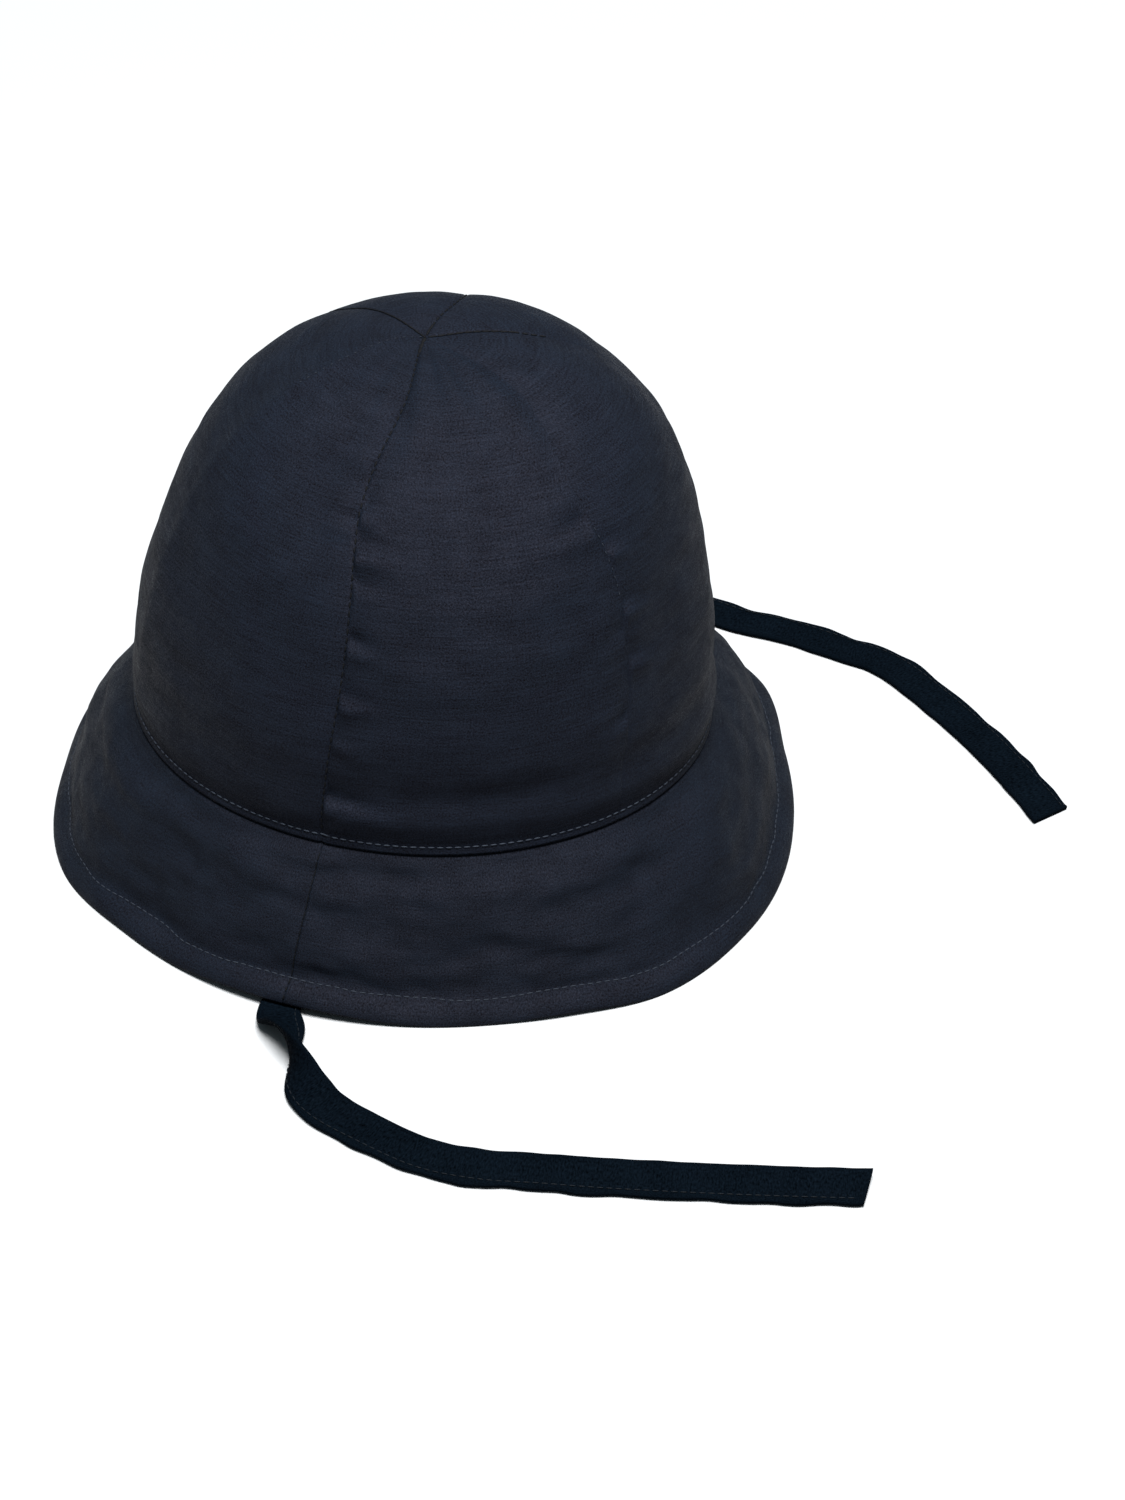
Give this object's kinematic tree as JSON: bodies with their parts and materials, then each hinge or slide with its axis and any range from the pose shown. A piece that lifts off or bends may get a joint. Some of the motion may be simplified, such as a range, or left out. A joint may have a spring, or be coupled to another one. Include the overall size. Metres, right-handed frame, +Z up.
{
  "type": "sun hat",
  "caption": "A child's soft sun hat with a sewn gored crown, a bell-shaped brim with a stitched hem, and flat chin ties laid out on the surface.",
  "frame": {"origin": "On the surface that the hem stands on, under the middle of the brim's box. The ties are not counted.", "axes": "+Z is up, out of the top of the crown. -Y is the hat's front, above the wearer's face. +X is the wearer's left. The side seams are at the two ends of X."},
  "size_m": [0.279, 0.2901, 0.1545],
  "materials": {
    "crown_cotton": "matt plain weave",
    "brim_cotton": "matt plain weave",
    "tie_cotton": "matt plain weave"
  },
  "bodies": {
    "root": {"crown_right_front": "crown_cotton", "crown_front": "crown_cotton", "crown_left_front": "crown_cotton", "crown_left_back": "crown_cotton", "crown_back": "crown_cotton", "crown_right_back": "crown_cotton", "brim_front": "brim_cotton", "brim_back": "brim_cotton", "tie_left": "tie_cotton", "tie_right": "tie_cotton"}
  },
  "joints": []
}
